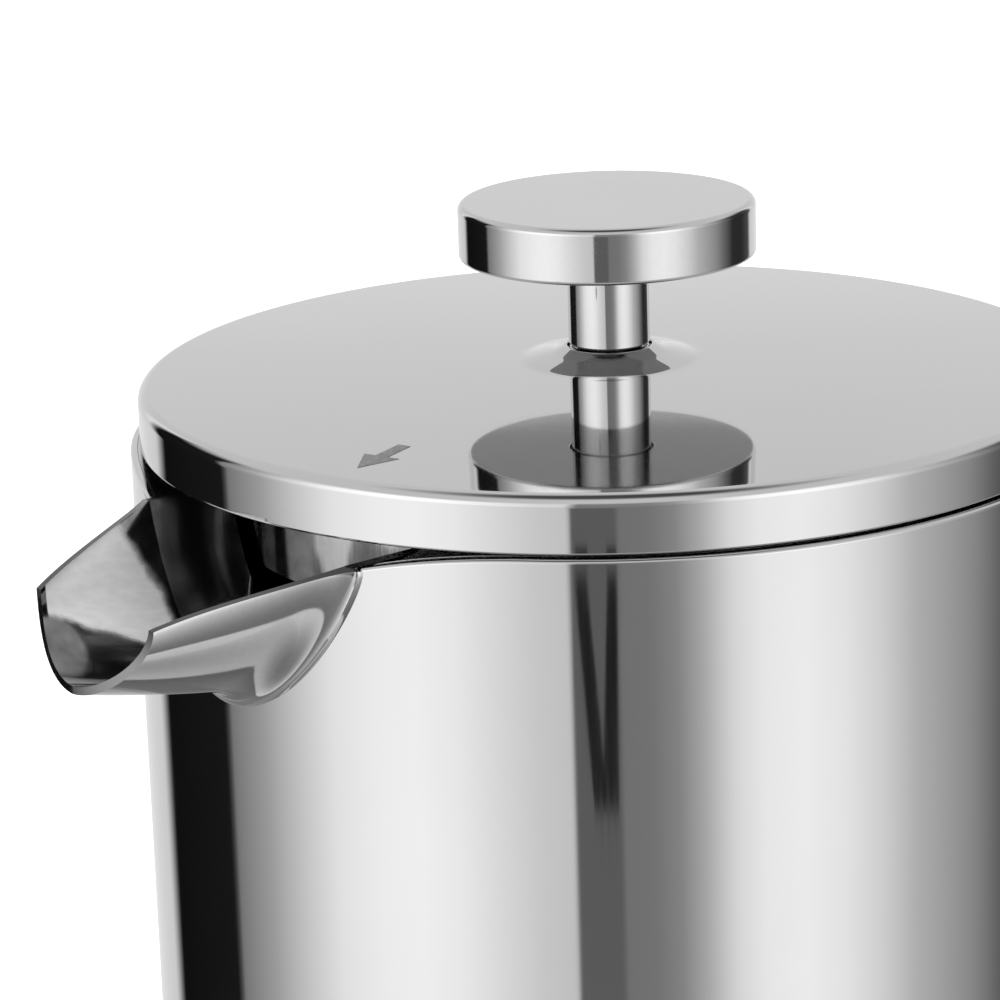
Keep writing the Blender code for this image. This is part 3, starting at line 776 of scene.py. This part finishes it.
# the flare starts on the wall's own face, so no gap shows around the root
start = [spout_out(0.0, p, flare(0.0, p) + 1e-3) for p in PH]
rows_o.append([(-sqrt((RO - 0.1) ** 2 - y * y), y, z) for _x, y, z in start])
rows_i.append([throat(p, -SPT, SKIN + 0.004) for p in PH])
for k in range(15):
    s = FL_L * (1 - cos(pi / 2 * k / 14))
    rows_o.append([spout_out(s / REACH, p, flare(s, p) + 1e-3) for p in PH])
    rows_i.append([spout_out(s / REACH + 0.004, p, -SPT) for p in PH])
t0 = FL_L / REACH
for k in range(1, 19):
    t = t0 + (1 - t0) * k / 18
    rows_o.append([spout_out(t, p, 0.0) for p in PH])
    rows_i.append([spout_out(t, p, -SPT) for p in PH])
# the end faces take the darker steel and the top cut edges the near-black steel, both painted shade on the cut
# edges
put(sheet_grid("pouring_spout", rows_o, rows_i, M_SPOUT, bevel=0.13, inner_mat=M_SPOUT_IN,
               mats=(M_SPOUT_END_SHADE, M_SPOUT_TOP_EDGE_SHADE)), "vessel", "spout",
    slot="polished_steel")

# ------------------------------------------------------------------ handle
HX, HZ0, HZ1 = 47.0, 50.0, 158.0
HW, HT, HS = 11.0, 6.0, 1.2
PADR = RO + 0.3 + 1.5


def grip_c(u):
    a = pi / 2 - pi * u
    e = 2.0 / 2.7
    c, s = max(cos(a), 0.0), sin(a)
    return (RO + HX * c ** e, (HZ0 + HZ1) / 2 + (HZ1 - HZ0) / 2 * math.copysign(abs(s) ** e, s))


# stations evenly spaced along the centre line
fine = [i / 4000 for i in range(4001)]
dist = [0.0]
for a, b in zip(fine, fine[1:]):
    p, q = grip_c(a), grip_c(b)
    dist.append(dist[-1] + sqrt((p[0] - q[0]) ** 2 + (p[1] - q[1]) ** 2))


def at_len(f):
    want = f * dist[-1]
    lo, hi = 0, len(dist) - 1
    while hi - lo > 1:
        mid = (lo + hi) // 2
        if dist[mid] < want:
            lo = mid
        else:
            hi = mid
    w = (want - dist[lo]) / max(dist[hi] - dist[lo], 1e-9)
    return fine[lo] + (fine[hi] - fine[lo]) * w


US = [0.0] + [at_len(i / 72) for i in range(1, 72)] + [1.0]


def grip_pt(u, f, shrink):
    x, z = grip_c(u)
    x0, z0 = grip_c(max(u - 0.002, 0.0))
    x1, z1 = grip_c(min(u + 0.002, 1.0))
    ln = sqrt((x1 - x0) ** 2 + (z1 - z0) ** 2)
    nx, nz = -(z1 - z0) / ln, (x1 - x0) / ln
    e = 2.0 / 2.6
    y = (HW - shrink) * math.copysign(abs(cos(f)) ** e, cos(f))
    d = (HT - shrink) * math.copysign(abs(sin(f)) ** e, sin(f))
    px, pz = x + nx * d, z + nz * d
    if u in (0.0, 1.0):
        px = sqrt((PADR + 0.3) ** 2 - y * y)
    return (px, y, pz)


HALF = [radians(2.0 + 176.0 * i / 36) for i in range(37)]
for nm, node, sign, mt in (("grip_outside", "handle_outer_shell", 1, M_HANDLE),
                           ("grip_inside", "handle_inner_shell", -1, M_HANDLE_IN)):
    o = [[grip_pt(u, sign * f, 0.0) for f in HALF] for u in US]
    i_ = [[grip_pt(u, sign * f, HS) for f in HALF] for u in US]
    put(sheet_grid(nm, o, i_, mt, bevel=0.1), "vessel", node, slot="polished_steel")


def pad(name, zc):
    bm = bmesh.new()
    n = 64
    rings = []
    # (radius, share of the oval) outward over the rounded edge
    lay = [(RO + 0.3, 0.45, 0.0), (RO + 0.3, 1.0, -0.05), (RO + 0.5, 1.0, 0.0), (RO + 1.1, 1.0, -0.05),
           (RO + 1.45, 1.0, -0.25), (RO + 1.65, 1.0, -0.6), (PADR, 1.0, -1.1), (PADR, 0.45, -0.4)]
    for r, f, g in lay:
        ring = []
        for i in range(n):
            a = 2 * pi * i / n
            y = (14.0 + g) * f * cos(a)
            z = zc + (9.0 + g) * f * sin(a)
            ring.append(bm.verts.new(Vector((sqrt(r * r - y * y), y, z)) * MM))
        rings.append(ring)
    c0 = bm.verts.new(Vector((RO + 0.3, 0, zc)) * MM)
    c1 = bm.verts.new(Vector((PADR, 0, zc)) * MM)
    for A, B in zip(rings, rings[1:]):
        for i in range(n):
            k = (i + 1) % n
            bm.faces.new((A[i], A[k], B[k], B[i]))
    for c, R in ((c0, rings[0]), (c1, rings[-1])):
        for i in range(n):
            bm.faces.new((c, R[i], R[(i + 1) % n]))
    bmesh.ops.recalc_face_normals(bm, faces=bm.faces)
    me = bpy.data.meshes.new(name)
    bm.to_mesh(me)
    bm.free()
    me.materials.append(M_PAD)
    me.shade_smooth()
    me.set_sharp_from_angle(angle=radians(50))
    ob = bpy.data.objects.new(name, me)
    bpy.context.scene.collection.objects.link(ob)
    return ob


put(pad("weld_pad_top", HZ1), "vessel", "handle_upper_pad", slot="polished_steel")
put(pad("weld_pad_bottom", HZ0), "vessel", "handle_lower_pad", slot="polished_steel")

# ------------------------------------------------------------------ lid
DOME = 1.2


def dome(r):
    return LZ + DOME * (1 - (r / 53.0) ** 2)


flat = [(r, dome(r)) for r in (11.5, 14, 18, 23, 28, 33, 38, 43, 47, 50, 51.8)]
fil = []
FR = 1.4
for k in range(0, 15):
    b = radians(2.6) + (pi / 2 - radians(2.6)) * k / 14
    fil.append((LID_R - FR + FR * sin(b), dome(LID_R - FR) - FR + FR * cos(b)))
S1, S2 = math.tan(radians(13.2)), math.tan(radians(30.0))
flr = [(10.9, dome(10.9)), (10.4, dome(10.4) + 0.012), (10.0, dome(10.0) + 0.045), (9.7, dome(9.8) + 0.1)]
z = dome(9.8) + 0.1
for r in (9.2, 8.7, 8.2, 7.7, 7.2, 6.8):
    z += (flr[-1][0] - r) * S1
    flr.append((r, z))
for k, r in enumerate((6.5, 6.2, 5.9, 5.6, 5.4, 5.25)):
    z += (flr[-1][0] - r) * (S1 + (S2 - S1) * min(1.0, (k + 1) / 4.0))
    flr.append((r, z))
flr = flr[::-1]
fz = flr[0][1]
boss = [(4.25, LZ + 1.60), (4.72, LZ + 1.60), (4.80, fz - 0.12), (4.87, fz + 0.0), (4.97, fz + 0.045),
        (5.10, fz + 0.045)] + flr
under = [(50.0, dome(50.0) - 0.8), (38.0, dome(38.0) - 0.8), (24.0, dome(24.0) - 0.8),
         (9.0, dome(9.0) - 0.8), (6.0, LZ + 0.55), (4.25, LZ + 0.75)]
skirt_low = rounded([(LID_R, LZ - 3.0), (LID_R, LZ - SKIRT, 0.35), (LID_R - 0.8, LZ - SKIRT, 0.3),
                     (LID_R - 0.8, LZ - 3.0)], 6)
prof = boss + flat + fil + skirt_low + [(LID_R - 0.8, LZ - 1.4), (LID_R - 1.6, LZ - 0.85)] + under
put(lathe("lid_top", prof, M_LID, n=288), "lid", "lid_cover", slot="polished_steel")

RT = LZ - 1.9
prof = rounded([(RING_R, RG_LO[2], 0.3), (RING_R, RT, 0.25), (RING_FL, RT, 0.2),
                (RING_FL, RT + 0.8, 0.2), (RING_R - 0.8, RT + 0.8, 0.8),
                (RING_R - 0.8, RG_LO[2], 0.3)], 5)
ring = lathe("lid_ring", prof, M_RING, n=240)
bm = bmesh.new()
for i in range(5):
    a = radians(203.45 + (i - 2) * 5.0)
    lo, hi = [], []
    for j in range(20):
        b = 2 * pi * j / 20
        dy, dz = cos(b), sin(b)
        for lst, r in ((lo, RING_R - 3.0), (hi, RING_R + 3.0)):
            lst.append(bm.verts.new(Vector((r * cos(a) - dy * sin(a), r * sin(a) + dy * cos(a),
                                            LZ - 14.4 + dz)) * MM))
    bm.faces.new(lo)
    bm.faces.new(hi[::-1])
    for j in range(20):
        k = (j + 1) % 20
        bm.faces.new((lo[j], lo[k], hi[k], hi[j]))
bmesh.ops.recalc_face_normals(bm, faces=bm.faces)
cm = bpy.data.meshes.new("ring_holes_tool")
bm.to_mesh(cm)
bm.free()
tool = bpy.data.objects.new("ring_holes_tool", cm)
bpy.context.scene.collection.objects.link(tool)
mod = ring.modifiers.new("holes", 'BOOLEAN')
mod.object = tool
mod.solver = 'EXACT'
bpy.context.view_layer.update()
dg = bpy.context.evaluated_depsgraph_get()
cut_mesh = bpy.data.meshes.new_from_object(ring.evaluated_get(dg), preserve_all_data_layers=True, depsgraph=dg)
ring.modifiers.clear()
ring.data = cut_mesh
cut_mesh.materials.clear()
cut_mesh.materials.append(M_RING)
bpy.data.objects.remove(tool)
# shading normals again, exact on the two round walls
nrm = []
for p in cut_mesh.polygons:
    fn = p.normal
    for li in p.loop_indices:
        co = cut_mesh.vertices[cut_mesh.loops[li].vertex_index].co
        rad = Vector((co.x, co.y, 0)).normalized()
        if abs(fn.z) < 0.2 and abs(fn.dot(Vector((p.center.x, p.center.y, 0)).normalized())) > 0.97:
            nrm.append(tuple(rad if fn.dot(rad) > 0 else -rad))
        else:
            nrm.append(tuple(fn))
cut_mesh.polygons.foreach_set("use_smooth", [True] * len(cut_mesh.polygons))
cut_mesh.normals_split_custom_set(nrm)
put(ring, "lid", "lid_inner_ring", slot="polished_steel")

# pouring mark: a flat arrow laid on the dome
MARK_DEG = 196.45
pts = [(49.5, 0.0), (45.1, 2.25), (45.1, 0.79), (40.9, 0.79), (40.9, -0.79), (45.1, -0.79),
       (45.1, -2.25)]
bm = bmesh.new()
ca, sa = cos(radians(MARK_DEG)), sin(radians(MARK_DEG))


def mark_v(u, v, h):
    r = sqrt(u * u + v * v)
    return Vector((u * ca - v * sa, u * sa + v * ca, dome(r) + h)) * MM


top = [bm.verts.new(mark_v(u, v, 0.035)) for u, v in pts]
bot = [bm.verts.new(mark_v(u, v, 0.004)) for u, v in pts]
for seq in ((0, 1, 2, 5, 6), (2, 3, 4, 5)):
    bm.faces.new([top[i] for i in seq])
    bm.faces.new([bot[i] for i in seq][::-1])
for i in range(7):
    k = (i + 1) % 7
    bm.faces.new((top[i], top[k], bot[k], bot[i]))
bmesh.ops.recalc_face_normals(bm, faces=bm.faces)
me = bpy.data.meshes.new("pour_mark")
bm.to_mesh(me)
bm.free()
me.materials.append(M_MARK)
mark = bpy.data.objects.new("pour_mark", me)
bpy.context.scene.collection.objects.link(mark)
put(mark, "lid", slot="polished_steel")

# bush
prof = rounded([(2.75, BU_LO[2], 0.15), (3.95, BU_LO[2], 0.3), (3.95, LZ + 1.9, 0.0),
                (4.58, LZ + 1.9, 0.1), (4.58, LZ + 2.58, 0.2), (4.1, LZ + 2.58, 0.1),
                (4.1, LZ + 2.3, 0.05), (2.75, LZ + 2.3, 0.15)], 6)
put(lathe("bush", prof, M_BUSH, n=96), "guide", "rod_guide_bush", slot="brushed_steel")

# ------------------------------------------------------------------ plunger
KR = KN_HI[0]
KB, KT = KN_LO[2], KN_HI[2]
prof = rounded([(0.0, KT), (KR, KT, 0.8), (KR, KB, 0.5), (4.95, KB, 0.12), (4.95, KB + 1.0, 0.0),
                (2.7, KB + 1.0, 0.0), (2.7, KB + 4.6, 0.0), (0.0, KB + 4.6)], 10)
knob = lathe("knob_disc", prof, M_KNOB, n=224)
knob.data.materials.append(M_UNDER_SHADE)
# the knob's downward faces take the darker copy: painted shade under the knob
for pl in knob.data.polygons:
    if pl.normal.z < -0.95:
        pl.material_index = 1
put(knob, "plunger", "knob_cap", slot="brushed_steel")
SR = ST_HI[0]
prof = rounded([(2.75, LZ + 4.0), (4.15, LZ + 4.0), (4.15, ST_LO[2], 0.1), (SR, ST_LO[2], 0.4),
                (SR, ST_HI[2], 0.1), (2.75, ST_HI[2], 0.1)], 6)
put(lathe("knob_neck", prof, M_NECK, n=128), "plunger", "knob_stem", slot="brushed_steel")
prof = rounded([(0.0, RD_LO[2]), (2.4, RD_LO[2], 0.5), (2.4, RD_HI[2], 0.5), (0.0, RD_HI[2])], 4)
put(lathe("rod", prof, M_ROD, n=64), "plunger", "plunger_rod", slot="polished_steel")

# springy coil round the filter: a real helix bent into a ring
turns = 130
CR = (CS_HI[0] + 0.0) - 1.25
cz = (CS_LO[2] + CS_HI[2]) / 2
curve = bpy.data.curves.new("edge_coil", 'CURVE')
curve.dimensions = '3D'
sp = curve.splines.new('POLY')
N = turns * 12
sp.points.add(N - 1)
for i in range(N):
    a = 2 * pi * i / N
    b = turns * a
    r = CR + 0.95 * cos(b)
    sp.points[i].co = (r * cos(a) * MM, r * sin(a) * MM, (cz + 0.95 * sin(b)) * MM, 1.0)
sp.use_cyclic_u = True
curve.bevel_depth = 0.27 * MM
curve.bevel_resolution = 1
curve.materials.append(M_WIRE)
coil = bpy.data.objects.new("edge_coil", curve)
bpy.context.scene.collection.objects.link(coil)
put(coil, "plunger", "coil_spring", slot="satin_steel")

# ------------------------------------------------------------------ CAD nodes that stay
for node, mat in (("guide_nut", M_NUT), ("knob_bumper", M_WASHER_BLACK), ("rod_lock_nut", M_NUT),
                  ("spiral_plate", M_PLATE), ("mesh_screen", M_MESH), ("cross_plate", M_PLATE),
                  ("filter_nut", M_NUT)):
    ob = NODES[node]
    ob.data.materials.clear()
    ob.data.materials.append(mat)
    mod = ob.modifiers.new("edge", 'BEVEL')
    mod.width = 0.08 * MM if node != "mesh_screen" else 0.03 * MM
    mod.segments = 2
    mod.limit_method = 'ANGLE'
    mod.angle_limit = radians(50)

# ------------------------------------------------------------------ floor
bm = bmesh.new()
bmesh.ops.create_grid(bm, x_segments=1, y_segments=1, size=6.0)
me = bpy.data.meshes.new("studio_floor")
bm.to_mesh(me)
bm.free()
floor = bpy.data.objects.new("studio_floor", me)
bpy.context.scene.collection.objects.link(floor)
floor.location = (0, 0, -0.0002)
fm = bpy.data.materials.new("floor_white")
fm.use_nodes = True
fb = fm.node_tree.nodes["Principled BSDF"]
fb.inputs["Base Color"].default_value = (0.86, 0.86, 0.86, 1)
fb.inputs["Roughness"].default_value = 0.9
fb.inputs["Specular IOR Level"].default_value = 0.1
fb.inputs["Emission Color"].default_value = (1, 1, 1, 1)
fb.inputs["Emission Strength"].default_value = 0.42
me.materials.append(fm)
floor.visible_glossy = False

# ------------------------------------------------------------------ studio
world = bpy.data.worlds.new("studio")
bpy.context.scene.world = world
world.use_nodes = True
wt = world.node_tree
wt.nodes.clear()
WN, WL = wt.nodes, wt.links


def math_node(op, a, b=None, c=None, clamp=False):
    n = WN.new("ShaderNodeMath")
    n.operation = op
    n.use_clamp = clamp
    for i, v in enumerate((a, b, c)):
        if v is None:
            continue
        if isinstance(v, (int, float)):
            n.inputs[i].default_value = v
        else:
            WL.new(v, n.inputs[i])
    return n.outputs[0]


def smooth(x, a, b):
    n = WN.new("ShaderNodeMapRange")
    n.interpolation_type = 'SMOOTHSTEP'
    n.inputs["From Min"].default_value = a
    n.inputs["From Max"].default_value = b
    WL.new(x, n.inputs["Value"])
    return n.outputs[0]


def blend(f, a, b):
    """a where f is 0, b where f is 1"""
    n = WN.new("ShaderNodeMix")
    n.data_type = 'FLOAT'
    WL.new(f, n.inputs[0])
    for i, v in ((2, a), (3, b)):
        if isinstance(v, (int, float)):
            n.inputs[i].default_value = v
        else:
            WL.new(v, n.inputs[i])
    return n.outputs[0]


tc = WN.new("ShaderNodeTexCoord")
sep = WN.new("ShaderNodeSeparateXYZ")
WL.new(tc.outputs["Generated"], sep.inputs[0])
phi = math_node('ARCTAN2', sep.outputs["Y"], sep.outputs["X"])
phi = math_node('MULTIPLY', phi, 180.0 / pi)
# azimuth of the direction, 0 towards the front, growing to the left, -180..180
az = math_node('SUBTRACT', VIEW_DEG, phi)
az = math_node('WRAP', az, 180.0, -180.0)
el = math_node('MULTIPLY', math_node('ARCSINE', sep.outputs["Z"]), 180.0 / pi)

REFL = 0.70


def lv(s):
    return lin(s) / REFL


def az_ramp(stops):
    n = WN.new("ShaderNodeValToRGB")
    cr = n.color_ramp
    cr.interpolation = 'LINEAR'
    stops = sorted(stops)
    while len(cr.elements) > 1:
        cr.elements.remove(cr.elements[0])
    first = True
    for a, s in stops:
        pos = (a + 180.0) / 360.0
        if first:
            cr.elements[0].position = pos
            e = cr.elements[0]
            first = False
        else:
            e = cr.elements.new(pos)
        v = lv(s)
        e.color = (v, v, v, 1)
    u = math_node('MULTIPLY_ADD', az, 1.0 / 360.0, 0.5)
    WL.new(u, n.inputs["Fac"])
    return n.outputs["Color"]


# two big softboxes either side of a narrow dark gap, dark flags beyond them, pale wall behind
low = az_ramp([(-180, 208), (-144, 196), (-139, 70), (-126, 40), (-112, 42), (-101, 98), (-92, 134),
               (-84, 153), (-74, 173), (-64, 205), (-54, 226), (-44, 235), (-34, 230), (-27, 212),
               (-20, 166), (-14, 130), (-8, 113), (9.4, 106), (10.4, 191), (18, 197), (28, 214),
               (38, 231), (48, 238), (58, 235), (70, 224), (80, 196), (92, 153), (104, 116),
               (106, 22), (137, 14), (143, 192), (180, 208)])
front_high = lv(186)
back = smooth(math_node('ABSOLUTE', az), 143.0, 152.0)
boost = math_node('MULTIPLY_ADD', smooth(el, -6.0, 6.0), 0.22, 1.0)
side_v = blend(smooth(el, 20.0, 36.0), math_node('MULTIPLY', low, boost), front_high)
back_v = blend(smooth(el, -8.0, 24.0), low, front_high)
v = blend(back, side_v, back_v)
# the narrow gap in front is darker lower down, with two thin dark stands in it
gap = math_node('MULTIPLY', smooth(az, -1.5, 0.2), math_node('SUBTRACT', 1.0, smooth(az, 9.6, 10.6)))
gap = math_node('MULTIPLY', gap, math_node('SUBTRACT', 1.0, smooth(el, -12.0, -3.0)))
v = blend(gap, v, lv(88))


def bar(c0, c1, w0, w1, e0, e1):
    """thin dark post: centre and half width at el e0 and e1"""
    k = math_node('MULTIPLY_ADD', el, 1.0 / (e1 - e0), -e0 / (e1 - e0), clamp=True)
    c = blend(k, c0, c1)
    w = blend(k, w0, w1)
    d = math_node('ABSOLUTE', math_node('SUBTRACT', az, c))
    n = math_node('SUBTRACT', d, w)
    m = math_node('SUBTRACT', 1.0, smooth(n, -0.25, 0.25))
    m = math_node('MULTIPLY', m, smooth(el, -20.7, -20.4))
    return math_node('MULTIPLY', m, math_node('SUBTRACT', 1.0, smooth(el, -17.3, -16.9)))


b1 = bar(7.7, 4.3, 1.45, 1.55, -17.3, -20.5)
b2 = bar(0.65, 2.1, 1.15, 1.9, -17.3, -20.5)
v = blend(math_node('MAXIMUM', b1, b2), v, lv(30))
# dark ceiling, pale table below
v = blend(smooth(el, 56.0, 80.0), v, lv(66))
dn = WN.new("ShaderNodeValToRGB")
while len(dn.color_ramp.elements) > 1:
    dn.color_ramp.elements.remove(dn.color_ramp.elements[0])
first = True
for e_, s_ in ((-90, 112), (-82, 120), (-76, 142), (-72, 162), (-68, 181), (-65, 188), (-63.6, 186),
               (-62.6, 106), (-58, 112), (-50, 121), (-42, 129), (-36, 140), (-31, 164), (-26, 192)):
    if first:
        e = dn.color_ramp.elements[0]
        e.position = (e_ + 90.0) / 90.0
        first = False
    else:
        e = dn.color_ramp.elements.new((e_ + 90.0) / 90.0)
    e.color = (lv(s_), lv(s_), lv(s_), 1)
WL.new(math_node('MULTIPLY_ADD', el, 1.0 / 90.0, 1.0, clamp=True), dn.inputs["Fac"])
# below the horizon the bands fade out slowly, so the wall keeps them when seen from higher up
keep = math_node('MULTIPLY', smooth(el, -62.0, -26.0), 0.42)
under = blend(keep, dn.outputs["Color"], low)
v = blend(math_node('SUBTRACT', 1.0, smooth(el, -30.0, -23.0)), v, under)

bg = WN.new("ShaderNodeBackground")
WL.new(v, bg.inputs["Color"])
bg.inputs["Strength"].default_value = 1.0
white = WN.new("ShaderNodeBackground")
white.inputs["Color"].default_value = (1, 1, 1, 1)
lp = WN.new("ShaderNodeLightPath")
mixs = WN.new("ShaderNodeMixShader")
WL.new(lp.outputs["Is Camera Ray"], mixs.inputs[0])
WL.new(bg.outputs[0], mixs.inputs[1])
WL.new(white.outputs[0], mixs.inputs[2])
out = WN.new("ShaderNodeOutputWorld")
WL.new(mixs.outputs[0], out.inputs["Surface"])

# overhead softbox for the floor, not seen in the steel
ld = bpy.data.lights.new("overhead", 'AREA')
ld.shape = 'DISK'
ld.size = 1.6
ld.energy = 22.0
lo = bpy.data.objects.new("overhead", ld)
bpy.context.scene.collection.objects.link(lo)
lo.location = (0.15, 0.1, 1.5)
lo.visible_glossy = False

# ------------------------------------------------------------------ camera
th = radians(VIEW_DEG + 90.0)
Rz = Matrix.Rotation(th, 3, 'Z')
S = LID_R * MM
loc = Rz @ (Vector((0.0, -8.11500, 2.03981)) * S) + Vector((0, 0, LZ * MM))
right = Rz @ Vector((0.9993274, 0.02121658, -0.02990998))
up = Rz @ Vector((0.02288459, 0.27650577, 0.96073974))
fwd = Rz @ Vector((-0.02865389, 0.96077803, -0.27583426))
mat = Matrix((right, up, -fwd)).transposed().to_4x4()
mat.translation = loc
cd = bpy.data.cameras.new("camera")
cam = bpy.data.objects.new("camera", cd)
bpy.context.scene.collection.objects.link(cam)
cam.matrix_world = mat
cd.sensor_width = 36.0
cd.lens = 3944.37 / 1000.0 * 36.0
cd.clip_start = 0.02
cd.clip_end = 50.0
bpy.context.scene.camera = cam
bpy.context.scene.view_settings.view_transform = 'Standard'
bpy.context.scene.view_settings.look = 'None'

# ------------------------------------------------------------------ update
bpy.context.view_layer.update()
